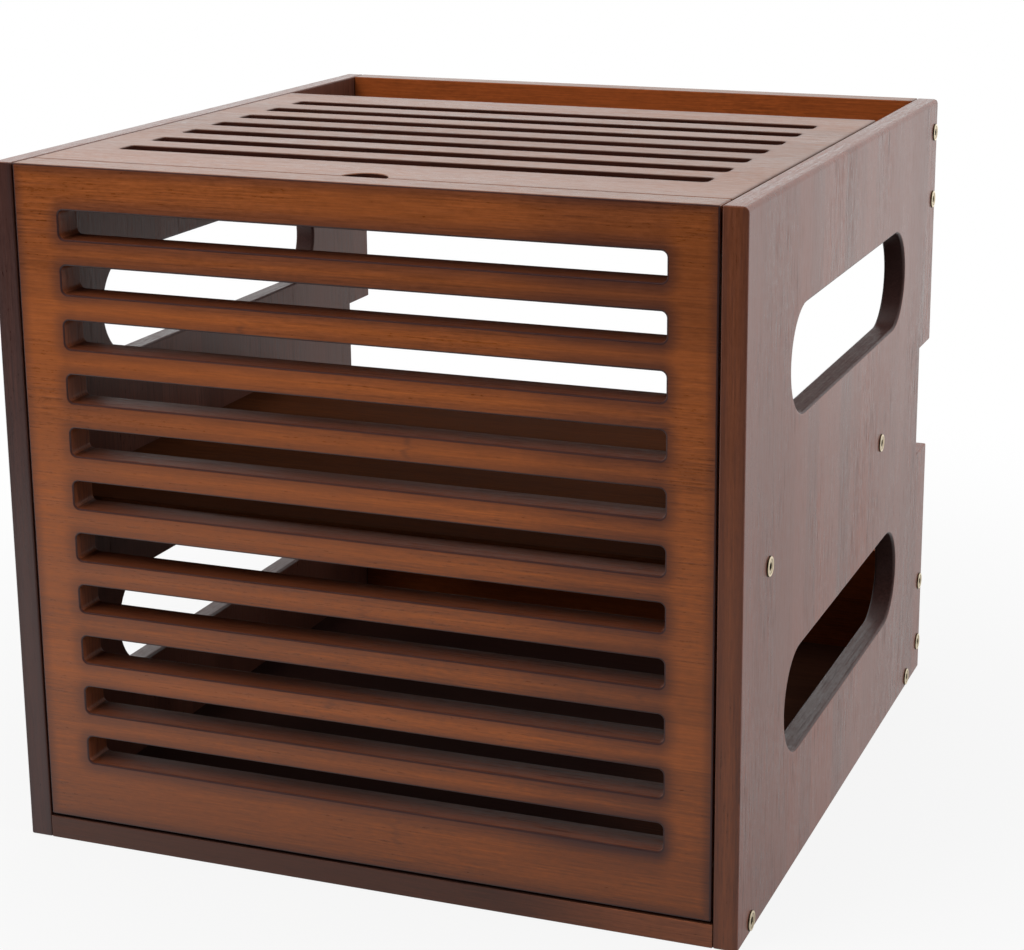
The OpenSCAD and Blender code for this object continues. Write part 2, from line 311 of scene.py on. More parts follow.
def bamboo(
    name,
    tone,
    deep,
    grain,
    across,
    rough,
    level,
    stain_and_shade=None,
    pores=0.3,
    marks=0.0,
    seed=0,
    calm=0.7,
):
    """Stained and lacquered bamboo, in a tone, with a deep colour for its pores, the joints of its
    segments, its pooled stain and its painted shade. grain and across are the axes that the
    fibres run along and that the strips lie side by side on. rough and level are the lacquer's
    roughness and shine. The function given for stain and shade says how far pooled stain and
    painted shade darken it, 0 to 1; pores and marks say how dark the open pores and the joints of
    the segments are; seed picks other strips, and calm is how bold the grain still is where it is
    quietest."""
    material, graph, shader = bare_material(name)
    place = graph.add("ShaderNodeTexCoord", output="Object")
    axes = graph.add("ShaderNodeSeparateXYZ", None, {0: place})
    xyz = [axes.out(axis) for axis in "XYZ"]

    def stretch(along, wide):
        return tuple(along if axis == grain else wide for axis in range(3))

    # Strips of different stalks lie side by side, and the joints between them wander a little
    drift = graph.noise(place, stretch(6, 30), 2)
    wide = xyz[across] / STRIP_W + seed + 0.12 * (drift - 0.5)
    strip = wide.math("FLOOR")
    joint = (wide.math("FRACT") - 0.5).math("ABSOLUTE")
    luck = graph.chance(strip)
    fibre = graph.noise(place, stretch(11, 1000), 3)
    band = graph.noise(place, stretch(5, 260), 3)
    hair = graph.noise(place, stretch(45, 1500), 2)
    cloud = graph.noise(place, stretch(6, 16), 3)
    mottle = graph.noise(place, stretch(260, 900), 2)
    patch = graph.ease(graph.noise(place, stretch(7, 13), 2), 0.38, 0.62, calm, 1.2)

    # Joints between the stalk's segments: a soft smear across some of the strips
    length = xyz[grain] / SEGMENT_L + luck * 7 + 0.1 * (band - 0.5)
    odds = (length.math("FLOOR") * 7.3 + strip * 3.1).math("SINE")
    away = (length.math("FRACT") - 0.5).math("ABSOLUTE") * SEGMENT_L
    mark = (
        graph.ease(away, 0.2 * MM, 2.6 * MM, 1, 0)
        * graph.ease(odds, 0.35, 0.9)
        * graph.ease(joint, 0.2, 0.46, 1, 0)
        * graph.ease(band, 0.3, 0.62)
    )

    # Open pores: short dark dashes along the fibres
    dash = graph.ease(graph.noise(place, stretch(52, 1050), 2, 0.5), 0.56, 0.68) * patch

    # How light the wood is, strip by strip, in slow clouds, and in its grain
    light = (
        1.0
        + 0.28 * (luck - 0.5)
        + 0.4 * (cloud - 0.5)
        + patch
        * (0.2 * (band - 0.5) + 0.5 * (fibre - 0.5) + 1.2 * (hair - 0.5) + 0.6 * (mottle - 0.5))
    )
    colour = graph.scale(tone, light)
    colour = graph.mix(marks * mark, colour, deep)
    colour = graph.mix(pores * dash, colour, deep)
    # Pooled stain and painted shade darken the wood towards its deep colour
    pooled_stain_and_shade = 0
    if stain_and_shade:
        pooled_stain_and_shade = (stain_and_shade(graph, *xyz) * (0.75 + 0.5 * cloud)).math("MAXIMUM", 0).math("MINIMUM", 1)
        colour = graph.mix(pooled_stain_and_shade, colour, graph.scale(deep, 0.35 * light + 0.65))
    feed(graph, shader, "Base Color", colour)
    feed(
        graph,
        shader,
        "Roughness",
        rough
        + patch * (0.25 * (fibre - 0.5) + 0.25 * (hair - 0.5) + 0.3 * (mottle - 0.5))
        + 0.2 * (cloud - 0.5)
        + 0.25 * pores * dash
        + 0.12 * pooled_stain_and_shade,
    )
    height = 0.6 * fibre + 0.3 * hair + 0.2 * mottle - 0.8 * pores * dash + 0.1 * marks * mark
    bump = graph.add(
        "ShaderNodeBump", None, {"Strength": 0.4, "Distance": 0.12 * MM, "Height": height}
    )
    feed(graph, shader, "Normal", bump)
    shader.inputs["Specular IOR Level"].default_value = level
    return material


def rim(graph, distance, halo, strength, line=0.55):
    """Darkening along an edge, which stands for pooled stain round slots and outlines and for
    painted shade where boards meet the side panels: a dark line on it and a halo that fades away
    from it.
    """
    return graph.ease(distance, 0.3 * MM, 1.0 * MM, line, 0) + graph.ease(
        distance, 0.3 * MM, halo, strength, 0
    )


def cut_through(graph, face, depth, wall_shade):
    """Darkening of a board's face, and painted shade on the walls that lie deeper in it than its
    eased edges.
    """
    deeper = graph.ease(depth, 0.3 * MM, 1.0 * MM)
    return graph.add("ShaderNodeMix", {"data_type": "FLOAT"}, {0: deeper, 2: face, 3: wall_shade})


def door_stain_and_shade(graph, x, y, z):
    """Stain pooled round the slots and along the outline; painted shade low down and on the
    recessed edges; darker at the top, in a broad band along the outline and towards the right.
    """
    lowest = DOOR_SLOT_TOP - (DOOR_SLOTS - 1) * DOOR_PITCH
    slots = slots_edge(x, z, lowest, DOOR_PITCH, DOOR_SLOTS, DOOR_SLOT_H)
    outline = between(x, -DOOR_W / 2, DOOR_W / 2).math("MINIMUM", between(z, DOOR_LOW, CASE_H))
    face = rim(graph, slots, 8 * MM, 0.45, 0.7).math("MAXIMUM", rim(graph, outline, 6 * MM, 0.4))
    # Painted shade: the front darkens low down, towards the base board
    face = face + graph.ease(z, DOOR_LOW, 80 * MM, 0.22, 0)
    # Darker towards the top
    face = face + graph.ease(z, 240 * MM, 270 * MM, 0, 0.09)
    # Darker in a broad band along the outline
    face = face + graph.ease(outline, 5 * MM, 60 * MM, 0.13, 0)
    # Darker towards the right, from 60 mm right of the middle, except along the bottom
    right = graph.ease(x, 60 * MM, 100 * MM, 0, 0.2) * graph.ease(x, 130 * MM, 138 * MM, 1, 0.4)
    face = face + right * graph.ease(z, 20 * MM, 32 * MM)
    # Painted shade on the door's edges and holes, which lie deeper than its eased rims
    return cut_through(graph, face, between(y, FRONT_Y, DOOR_BACK), 0.62)


def lid_stain_and_shade(graph, x, y, z):
    """Stain pooled in a narrow line round the slots and along both sides, and painted shade on the
    walls below the eased rims.
    """
    slots = slots_edge(x, y, LID_SLOT_FIRST, LID_PITCH, LID_SLOTS, LID_SLOT_W)
    outline = between(x, -DOOR_W / 2, DOOR_W / 2)
    face = rim(graph, slots, 3 * MM, 0.2, 0.4)
    face = face.math("MAXIMUM", rim(graph, outline, 3 * MM, 0.2, 0.3))
    return cut_through(graph, face, between(z, CASE_H - LID_T, CASE_H), 0.35)


def edge_stain(graph, x, y, z):
    """Deeper towards both long edges of a side panel's front edge."""
    middle = (x.math("ABSOLUTE") - (INNER_X + SIDE_T / 2)).math("ABSOLUTE")
    return graph.ease(middle, 0.5 * MM, SIDE_T / 2, 0.1, 0.5)


def inner_corner_shade(graph, x, y, z):
    """Painted shade where a board meets the side panels."""
    return rim(graph, between(x, -INNER_X, INNER_X), 8 * MM, 0.25)


def base_darkening(graph, x, y, z):
    """Darker, but for the right-hand end."""
    return graph.ease(x, 60 * MM, 130 * MM, 0.85, 0.1)


def metal(name, tone, rough, fine):
    """Plated or ground metal, with fine specks, so many to the metre. A float attribute on its
    mesh says how far painted shade darkens it and makes it rougher."""
    material, graph, shader = bare_material(name)
    place = graph.add("ShaderNodeTexCoord", output="Object")
    speck = graph.noise(place, (fine,) * 3, 3)
    cloud = graph.noise(place, (260,) * 3, 2)
    light = 0.86 + 0.22 * cloud + 0.06 * speck
    # Painted shade: where the mesh's attribute says so, the metal turns dark brown and rougher
    painted_shade = graph.add("ShaderNodeAttribute", {"attribute_name": "painted_shade"}, output="Fac")
    colour = graph.mix(painted_shade, graph.scale(tone, light), tint(34, 24, 14))
    feed(graph, shader, "Base Color", colour)
    feed(graph, shader, "Roughness", rough + 0.16 * (speck - 0.5) + 0.12 * cloud + 0.3 * painted_shade)
    bump = graph.add(
        "ShaderNodeBump", None, {"Strength": 0.25, "Distance": 0.03 * MM, "Height": speck}
    )
    feed(graph, shader, "Normal", bump)
    shader.inputs["Metallic"].default_value = 1.0
    return material


# Boards


def geometry_graph(name, inputs, output):
    """An empty Geometry Nodes tree with its named inputs and its output."""
    tree = bpy.data.node_groups.new(name, "GeometryNodeTree")
    for title, kind in inputs.items():
        tree.interface.new_socket(title, in_out="INPUT", socket_type="NodeSocket" + kind)
    tree.interface.new_socket(output, in_out="OUTPUT", socket_type="NodeSocketGeometry")
    return Graph(tree)


def board_tree():
    """Node tree that turns closed outlines into a board: it adds a ladder of round-cornered slots
    to the outlines, fills what lies between them and gives the sheet its thickness."""
    inputs = {
        "Outline": "Geometry",
        "Thickness": "Float",
        "Slots": "Int",
        "First slot": "Float",
        "Slot pitch": "Float",
        "Slot length": "Float",
        "Slot height": "Float",
        "Slot corner": "Float",
        "Finish": "Material",
    }
    graph = geometry_graph("board", inputs, "Board")
    given = graph.add("NodeGroupInput")
    slot = graph.add(
        "GeometryNodeCurvePrimitiveQuadrilateral",
        {"mode": "RECTANGLE"},
        {"Width": given.out("Slot length"), "Height": given.out("Slot height")},
    )
    slot = graph.add(
        "GeometryNodeFilletCurve",
        {"mode": "POLY"},
        {"Curve": slot, "Count": CORNER_STEPS, "Radius": given.out("Slot corner")},
    )
    start = graph.add("ShaderNodeCombineXYZ", None, {"Y": given.out("First slot")})
    step = graph.add("ShaderNodeCombineXYZ", None, {"Y": given.out("Slot pitch")})
    places = graph.add(
        "GeometryNodeMeshLine",
        {"mode": "OFFSET"},
        {"Count": given.out("Slots"), "Start Location": start, "Offset": step},
    )
    ladder = graph.add(
        "GeometryNodeInstanceOnPoints", None, {"Points": places, "Instance": slot}
    )
    ladder = graph.add("GeometryNodeRealizeInstances", None, {"Geometry": ladder})
    outline = graph.add("GeometryNodeMeshToCurve", None, {"Mesh": given.out("Outline")})
    joined = graph.join(outline, ladder)
    sheet = graph.add("GeometryNodeFillCurve", {"mode": "NGONS"}, {"Curve": joined})
    raised = graph.add(
        "GeometryNodeExtrudeMesh",
        {"mode": "FACES"},
        {"Mesh": sheet, "Offset Scale": given.out("Thickness"), "Individual": False},
    )
    under = graph.add("GeometryNodeFlipFaces", None, {"Mesh": sheet})
    solid = graph.join(raised, under)
    solid = graph.add("GeometryNodeMergeByDistance", None, {"Geometry": solid, "Distance": 1e-6})
    solid = graph.add("GeometryNodeRealizeInstances", None, {"Geometry": solid})
    solid = graph.add(
        "GeometryNodeSetMaterial", None, {"Geometry": solid, "Material": given.out("Finish")}
    )
    graph.add("NodeGroupOutput", None, {"Board": solid})
    return graph.tree


def outlines(name, loops):
    """Mesh of closed outlines, each a list of (u, v)."""
    points, edges = [], []
    for loop in loops:
        start = len(points)
        points += [(u, v, 0.0) for u, v in loop]
        edges += [(start + i, start + (i + 1) % len(loop)) for i in range(len(loop))]
    mesh = bpy.data.meshes.new(name)
    mesh.from_pydata(points, edges, [])
    return mesh


def settle(thing):
    """Works out the object's modifiers and keeps the result as its plain mesh."""
    worked = bpy.context.evaluated_depsgraph_get()
    result = bpy.data.meshes.new_from_object(
        thing.evaluated_get(worked), preserve_all_data_layers=True, depsgraph=worked
    )
    thing.modifiers.clear()
    thing.data = result
    return thing


def set_inputs(modifier, values):
    """Sets a node modifier's inputs by the names that its tree gives them."""
    for item in modifier.node_group.interface.items_tree:
        if item.in_out == "INPUT" and item.name in values:
            modifier[item.identifier] = values[item.name]


def on_ring(radius, turn, height):
    """A point of a ring round Z."""
    return radius * math.cos(turn), radius * math.sin(turn), height


def skin(mesh, rings):
    """Closes rings of as many points each, from the lowest to the highest, to a solid."""
    for lower, upper in zip(rings, rings[1:]):
        for i in range(len(lower)):
            j = (i + 1) % len(lower)
            mesh.faces.new((lower[i], lower[j], upper[j], upper[i]))
    mesh.faces.new(reversed(rings[0]))
    mesh.faces.new(rings[-1])


def turned(mesh, place, along, profile):
    """Adds a closed turned solid to a mesh: along is the direction of its axis from its place, and
    profile lists (distance along the axis, radius) from its foot to its top."""
    stand = Matrix.Translation(place) @ Vector(along).to_track_quat("Z", "Y").to_matrix().to_4x4()
    turns = [math.tau * i / HOLE_STEPS for i in range(HOLE_STEPS)]
    rings = [
        [mesh.verts.new(stand @ Vector(on_ring(radius, turn, height))) for turn in turns]
        for height, radius in profile
    ]
    skin(mesh, rings)


def bores(name, holes):
    """Mesh of what holes take away: each is (place, direction, profile)."""
    mesh = bmesh.new()
    for hole in holes:
        turned(mesh, *hole)
    data = bpy.data.meshes.new(name)
    mesh.to_mesh(data)
    mesh.free()
    return data


def screw_hole(side, y, z):
    """A screw's hole from the outside of a side panel inwards: its seat, then its shank."""
    foot, shank = SCREW_L + MM, SHANK_R + SET_PLAY
    seat = HEAD_R + HEAD_RING
    profile = [(-foot, shank), (0, shank), (0, seat), (HEAD_SEAT + MM, seat)]
    return (side * (CASE_W / 2 - HEAD_SEAT), y, z), (side, 0, 0), profile


def pin_hole(side, y, z):
    """A pivot pin's hole in a board that swings on it."""
    profile = [(-PIN_IN - MM, PIN_R + PIN_PLAY), (MM, PIN_R + PIN_PLAY)]
    return (side * DOOR_W / 2, y, z), (side, 0, 0), profile


def disc_hole(side, y, depth, direction):
    """A shallow round hole from y for a magnet or its keeper."""
    radius = MAGNET_R + SET_PLAY
    return (side * MAGNET_X, y, SHELF_Z), (0, direction, 0), [(-depth, radius), (MM, radius)]


def drill(thing, holes):
    """Takes holes out of a board."""
    cutter = new_object("cutter", bores("cutter", holes))
    cut = thing.modifiers.new("holes", "BOOLEAN")
    cut.object, cut.solver = cutter, "EXACT"
    settle(thing)
    bpy.data.objects.remove(cutter)


def is_spare(edge, cuts):
    """Whether an edge lies flat in a face and isn't one of those where the face was parted."""
    flat = len(edge.link_faces) == 2 and edge.calc_face_angle(0) < math.radians(1)
    return flat and not any(
        all(abs(vertex.co[axis] - value) < 2 * TOUCH for vertex in edge.verts)
        for axis, value in cuts
    )


def part_faces(mesh, cuts):
    """Parts faces at levels, each given as (axis, value), so that none of them has a hole in it,
    and clears away what other edges lie in them."""
    for axis, value in cuts:
        normal = Vector([float(axis == i) for i in range(3)])
        whole = mesh.verts[:] + mesh.edges[:] + mesh.faces[:]
        bmesh.ops.bisect_plane(
            mesh, geom=whole, dist=TOUCH, plane_co=value * normal, plane_no=normal
        )
    if cuts:
        spare = [edge for edge in mesh.edges if is_spare(edge, cuts)]
        bmesh.ops.dissolve_edges(mesh, edges=spare, use_verts=True)


def round_edges(thing, ease, cuts):
    """Rounds a board's edges, each by what ease gives for its middle and its span."""
    mesh = bmesh.new()
    mesh.from_mesh(thing.data)
    part_faces(mesh, cuts)
    weight = mesh.edges.layers.float.new("bevel_weight_edge")
    for edge in mesh.edges:
        if len(edge.link_faces) == 2 and edge.calc_face_angle(0) > FOLD:
            a, b = (vertex.co for vertex in edge.verts)
            edge[weight] = ease((a + b) / 2, b - a) / WIDEST_ROUND
            edge.smooth = edge[weight] > 0
    for face in mesh.faces:
        face.smooth = True
    mesh.to_mesh(thing.data)
    mesh.free()
    bevel = thing.modifiers.new("ease", "BEVEL")
    bevel.limit_method, bevel.miter_outer = "WEIGHT", "MITER_SHARP"
    bevel.width, bevel.segments = WIDEST_ROUND, ROUND_STEPS
    bevel.use_clamp_overlap = bevel.loop_slide = False
    bevel.harden_normals = True
    settle(thing)


def ladder(count, first, pitch, height):
    """What a board's node tree is told of its slots."""
    return {
        "Slots": count,
        "First slot": first,
        "Slot pitch": pitch,
        "Slot length": SLOT_L,
        "Slot height": height,
        "Slot corner": SLOT_R,
    }


def board(
    node, body, loops, thickness, place, finish, ease, slots=None, holes=(), edges=(), cuts=()
):
    """One board, which takes the place of its node in the CAD: outlines drawn flat, given their
    thickness, put in place, drilled and eased. ease and cuts are for round_edges and part_faces;
    slots comes from ladder; edges lists the finishes of single edges, each with a test on the
    middle and normal of a face."""
    name = node + "_board"
    thing = new_object(name, outlines(name, loops))
    grow = thing.modifiers.new("board", "NODES")
    grow.node_group = BOARD_TREE
    set_inputs(grow, {"Thickness": thickness, "Finish": finish, "Slots": 0, **(slots or {})})
    settle(thing)
    thing.data.transform(place)
    if holes:
        drill(thing, holes)
    round_edges(thing, ease, cuts)
    # What the rounding left a hair outside the CAD's box goes back onto it
    low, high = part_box(node)
    for vertex in thing.data.vertices:
        vertex.co = [min(max(v, a), b) for v, a, b in zip(vertex.co, low, high)]
    thing.data.materials.clear()
    thing.data.materials.append(finish)
    for index, (edge_finish, test) in enumerate(edges, 1):
        thing.data.materials.append(edge_finish)
        for face in thing.data.polygons:
            if test(face.center, face.normal):
                face.material_index = index
    thing.data.name = name
    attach(thing, body)
    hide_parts(node)
    return thing


def arc(u, v, radius, start, end):
    """Points on an arc round (u, v), from one angle to another, in degrees."""
    turns = [math.radians(start + (end - start) * i / ARC_STEPS) for i in range(ARC_STEPS + 1)]
    return [(u + radius * math.cos(turn), v + radius * math.sin(turn)) for turn in turns]


def rectangle(left, right, low, high):
    """Outline of a board with square corners."""
    return [(left, low), (right, low), (right, high), (left, high)]


def handle(z):
    """Outline of a handle hole with its middle at height z."""
    reach, radius = (HANDLE_L - HANDLE_H) / 2, HANDLE_H / 2
    return arc(reach, z, radius, -90, 90) + arc(-reach, z, radius, 90, 270)


def axes(u, v, origin):
    """Matrix that lays a flat drawing into the case: u and v are where its two axes point."""
    u, v = Vector(u), Vector(v)
    return Matrix.Translation(origin) @ rotation(u, v, u.cross(v))


def is_inner(centre, normal):
    """On the face of a side panel that looks into the case."""
    return abs(centre.x) < INNER_X + NEAR and abs(normal.x) > 0.7


def is_cut(centre, normal):
    """In a slot of the door."""
    inside = abs(centre.x) < SLOT_L / 2 + MM and DOOR_LOW + 3 * MM < centre.z < CASE_H - 3 * MM
    return inside and abs(normal.y) < 0.3


def is_end(centre, normal):
    """At an end of a slot of the door."""
    return is_cut(centre, normal) and abs(normal.x) > 0.7


def is_slot(centre, normal):
    """In a slot of the lid, or in its finger notch."""
    inside = abs(centre.x) < SLOT_L / 2 + MM and 0.5 * MM < centre.y - LID_FRONT < LID_D - 3 * MM
    return inside and abs(normal.z) < 0.3


def is_hole(centre, normal):
    """In a handle hole."""
    inside = any(abs(centre.z - z) < HANDLE_H / 2 + MM for z in HANDLE_Z)
    return inside and abs(centre.y) < HANDLE_L / 2 + MM and abs(normal.x) < 0.95


def is_top(centre, normal):
    """On the top of the case."""
    return centre.z > CASE_H - NEAR and normal.z > 0.7


def is_front(centre, normal):
    """On the front of the case."""
    return centre.y < FRONT_Y + NEAR and normal.y < -0.7


def by_pin(middle, pin):
    """Whether an edge belongs to the rim of a pin's hole."""
    return abs(middle.y - pin[0]) < PIN_R + MM and abs(middle.z - pin[1]) < PIN_R + MM


def side_panel(node, side, finish, front_edge):
    """A side panel: side is 1 for the right-hand one and -1 for the left-hand one."""
    outline = [
        (FRONT_Y, 0),
        (REAR_Y, 0),
        (REAR_Y, NOTCH_LOW),
        (REAR_Y - NOTCH_D, NOTCH_LOW),
        (REAR_Y - NOTCH_D, NOTCH_HIGH),
        (REAR_Y, NOTCH_HIGH),
        (REAR_Y, CASE_H),
        (FRONT_Y, CASE_H),
    ]
    screwed = [place for _, places in SCREWS.values() for place in places]
    drilled = screwed + [LID_PIN, DOOR_PIN]
    holes = [screw_hole(side, y, z) for y, z in screwed]
    for y, z in (LID_PIN, DOOR_PIN):
        profile = [(-MM, PIN_R + SET_PLAY), (PIN_SEAT, PIN_R + SET_PLAY)]
        holes.append(((side * INNER_X, y, z), (side, 0, 0), profile))

    def ease(middle, span):
        if span.length < DRILLED:
            return 0
        outside = abs(middle.x) > INNER_X + SIDE_T / 2
        if abs(middle.z - CASE_H) < TOUCH and abs(span.y) > 2 * SIDE_T and outside:
            return TOP_ROUND
        for z in HANDLE_Z:
            if abs(middle.z - z) < HANDLE_H / 2 + TOUCH and abs(middle.y) < HANDLE_L / 2 + TOUCH:
                return HANDLE_ROUND
        return STOUT_ROUND

    return board(
        node,
        "case",
        [outline, *map(handle, HANDLE_Z)],
        SIDE_T,
        axes((0, 1, 0), (0, 0, 1), (INNER_X if side > 0 else -CASE_W / 2, 0, 0)),
        finish,
        ease,
        holes=holes,
        edges=[
            (walnut_within_shaded, is_inner),
            (walnut_hole_shaded, is_hole),
            (walnut_crest, is_top),
            (front_edge, is_front),
        ],
        cuts=[(Z, z) for z in (*HANDLE_Z, *sorted({z for _, z in drilled}))],
    )


def front_door(finish):
    """The slotted front, which swings on two pins and holds two keepers."""
    slots = [DOOR_SLOT_TOP - i * DOOR_PITCH for i in range(DOOR_SLOTS)]
    holes = [pin_hole(side, *DOOR_PIN) for side in (-1, 1)]
    holes += [disc_hole(side, DOOR_BACK, KEEPER_T, 1) for side in (-1, 1)]

    def ease(middle, span):
        # The rims of the keepers' holes and of the pins' holes stay sharp
        if abs(middle.y - DOOR_BACK) < 2 * MM and abs(middle.z - SHELF_Z) < MAGNET_R + MM:
            if abs(abs(middle.x) - MAGNET_X) < MAGNET_R + MM:
                return 0
        return 0 if by_pin(middle, DOOR_PIN) else STOUT_ROUND

    return board(
        "front_door",
        "door",
        [rectangle(-DOOR_W / 2, DOOR_W / 2, DOOR_LOW, CASE_H)],
        DOOR_T,
        axes((1, 0, 0), (0, 0, 1), (0, DOOR_BACK, 0)),
        finish,
        ease,
        ladder(DOOR_SLOTS, DOOR_SLOT_TOP, -DOOR_PITCH, DOOR_SLOT_H),
        holes,
        [(walnut_cut_shaded, is_cut), (walnut_end, is_end), (walnut_lid, is_top)],
        [(Z, z) for z in (*slots, SHELF_Z, DOOR_PIN[1])],
    )


def lid(finish):
    """The slotted lid, which swings on two pins and has a finger notch."""
    slots = [LID_SLOT_FIRST + i * LID_PITCH for i in range(LID_SLOTS)]
    holes = [pin_hole(side, *LID_PIN) for side in (-1, 1)]
    outline = rectangle(-DOOR_W / 2, DOOR_W / 2, LID_FRONT, LID_FRONT + LID_D)
    # The finger notch lies between the two front corners
    outline[1:1] = arc(0, LID_FRONT, FINGER_R, 180, 0)

    def ease(middle, span):
        return 0 if by_pin(middle, LID_PIN) else FINE_ROUND

    return board(
        "lid",
        "lid",
        [outline],
        LID_T,
        axes((1, 0, 0), (0, 1, 0), (0, 0, CASE_H - LID_T)),
        finish,
        ease,
        ladder(LID_SLOTS, LID_SLOT_FIRST, LID_PITCH, LID_SLOT_W),
        holes,
        [(walnut_slot_shaded, is_slot)],
        [(Y, y) for y in (*slots, LID_PIN[0])],
    )


def plain_board(node, finish, edges=(), round_by=FINE_ROUND):
    """A board with no cut-outs but its drilled holes, as large as its node in the CAD."""
    low, high = (Vector(corner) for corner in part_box(node))
    _, screwed = SCREWS.get(node, (None, ()))
    holes = [screw_hole(side, y, z) for side in (-1, 1) for y, z in screwed]
    if node == "middle_shelf":
        holes += [disc_hole(side, low.y, MAGNET_T, -1) for side in (-1, 1)]

    def ease(middle, span):
        return 0 if span.length < DRILLED else round_by

    return board(
        node,
        "case",
        [rectangle(low.x, high.x, low.y, high.y)],
        high.z - low.z,
        axes((1, 0, 0), (0, 1, 0), (0, 0, low.z)),
        finish,
        ease,
        holes=holes,
        edges=edges,
    )


# Screws


def screw_mesh(finish):
    """A flat-headed furniture screw at the origin, with its head's top facing +Z and its seat at
    Z = 0: a rounded rim, a shallow groove, a hex socket and a coarse thread."""
    top = HEAD_SEAT + HEAD_PROUD
    turns = [math.tau * i / SCREW_STEPS for i in range(SCREW_STEPS)]

    def plain(radius):
        return lambda turn: radius

    def hexagon(turn):
        return HEX_AF / 2 / math.cos((turn + math.pi / 6) % (math.pi / 3) - math.pi / 6)

    def thread(height):
        # Its crest runs round the core, and the screw's last 3 mm taper to a blunt tip
        def radius(turn):
            wave = (height / THREAD_PITCH - turn / math.tau) % 1
            crest = max(0, 1 - 4 * abs(wave - 0.5))
            tip = min(1, (height + SCREW_L) / (3 * MM))
            return (0.5 + 0.5 * tip) * (CORE_R + (SHANK_R - CORE_R) * crest)

        return radius

    # For each ring of points its height, its radius at each turn, and how far painted shade
    # darkens it: the head's side, its groove and its socket are painted dark as in shade
    levels = int(THREAD_L / THREAD_PITCH * 6)
    heights = [-SCREW_L + THREAD_L * i / levels for i in range(levels + 1)]
    profile = [(height, thread(height), 0) for height in heights]
    profile += [
        (THREAD_L - SCREW_L + 0.6 * MM, plain(SHANK_R), 0),
        (0, plain(SHANK_R), 0),
        (0, plain(HEAD_R), 1),
        (HEAD_SEAT, plain(HEAD_R), 0.95),
        (top - 0.35 * MM, plain(HEAD_R), 0.85),
        (top - 0.1 * MM, plain(HEAD_R - 0.06 * MM), 0.2),
        (top, plain(HEAD_R - 0.32 * MM), 0),
        (top, plain(HEAD_R - 0.8 * MM), 0),
        (top - 0.25 * MM, plain(HEAD_R - 1.1 * MM), 0.7),
        (top - 0.2 * MM, plain(HEAD_R - 1.35 * MM), 0.35),
        (top - 0.15 * MM, plain(1.95 * MM), 0.3),
        (top - 0.3 * MM, hexagon, 0.7),
        (top - 0.7 * MM, hexagon, 1),
        (top - HEX_DEPTH, hexagon, 1),
    ]
    mesh = bmesh.new()
    painted_shade = mesh.verts.layers.float.new("painted_shade")
    rings = []
    for height, radius, painted_dark in profile:
        ring = [mesh.verts.new(on_ring(radius(turn), turn, height)) for turn in turns]
        for vertex in ring:
            vertex[painted_shade] = painted_dark
        rings.append(ring)
    skin(mesh, rings)
    for face in mesh.faces:
        face.smooth = True
    for edge in mesh.edges:
        if len(edge.link_faces) == 2 and edge.calc_face_angle(0) > math.radians(40):
            edge.smooth = False
    data = bpy.data.meshes.new("screw")
    mesh.to_mesh(data)
    mesh.free()
    data.materials.append(finish)
    return data


def screws_tree():
    """Node tree that sets a screw on each point of a mesh, its head turned away from the middle of
    the case and spun about its own axis by chance."""
    inputs = {"Places": "Geometry", "Screw": "Object", "Seed": "Int", "Finish": "Material"}
    graph = geometry_graph("screws", inputs, "Screws")
    given = graph.add("NodeGroupInput")
    shape = graph.add("GeometryNodeObjectInfo", None, {"Object": given.out("Screw")})
    place = graph.add("GeometryNodeInputPosition")
    side = graph.add("ShaderNodeSeparateXYZ", None, {0: place})
    outward = graph.add("ShaderNodeCombineXYZ", None, {"X": side.math("SIGN")})
    facing = graph.add("FunctionNodeAlignRotationToVector", {"axis": "Z"}, {"Vector": outward})
    spin = graph.add(
        "FunctionNodeRandomValue", {"data_type": "FLOAT"}, {"Seed": given.out("Seed")}, 1
    )
    turn = graph.add("FunctionNodeAxisAngleToRotation", None, {"Angle": spin * math.tau})
    facing = graph.add(
        "FunctionNodeRotateRotation",
        {"rotation_space": "LOCAL"},
        {"Rotation": facing, "Rotate By": turn},
    )
    set_out = graph.add(
        "GeometryNodeInstanceOnPoints",
        None,
        {"Points": given.out("Places"), "Instance": shape.out("Geometry"), "Rotation": facing},
    )
    solid = graph.add("GeometryNodeRealizeInstances", None, {"Geometry": set_out})
    solid = graph.add(
        "GeometryNodeSetMaterial", None, {"Geometry": solid, "Material": given.out("Finish")}
    )
    graph.add("NodeGroupOutput", None, {"Screws": solid})
    return graph.tree


def screws(finish):
    """All screws, those of one board in one piece."""
    pattern = new_object("screw_pattern", screw_mesh(finish))
    tree = screws_tree()
    seat = CASE_W / 2 - HEAD_SEAT
    for seed, (node, places) in enumerate(SCREWS.values(), 3):
        mesh = bpy.data.meshes.new(node)
        mesh.from_pydata([(s * seat, y, z) for s in (1, -1) for y, z in places], [], [])
        thing = new_object(node + "_set", mesh)
        modifier = thing.modifiers.new("screws", "NODES")
        modifier.node_group = tree
        set_inputs(modifier, {"Screw": pattern, "Seed": seed, "Finish": finish})
        settle(thing)
        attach(thing, "case")
        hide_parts(node)
    bpy.data.objects.remove(pattern)


# Studio


def lamp(name, place, aim, width, height, power, tone=WHITE):
    """A soft box: an area lamp that neither the camera nor a reflection sees."""
    light = bpy.data.lights.new(name, "AREA")
    light.shape, light.size, light.size_y = "RECTANGLE", width, height
    light.energy, light.color = power, tone
    thing = new_object(name, light)
    thing.location = place
    thing.rotation_euler = (Vector(aim) - Vector(place)).to_track_quat("-Z", "Y").to_euler()
    thing.visible_camera = thing.visible_glossy = False


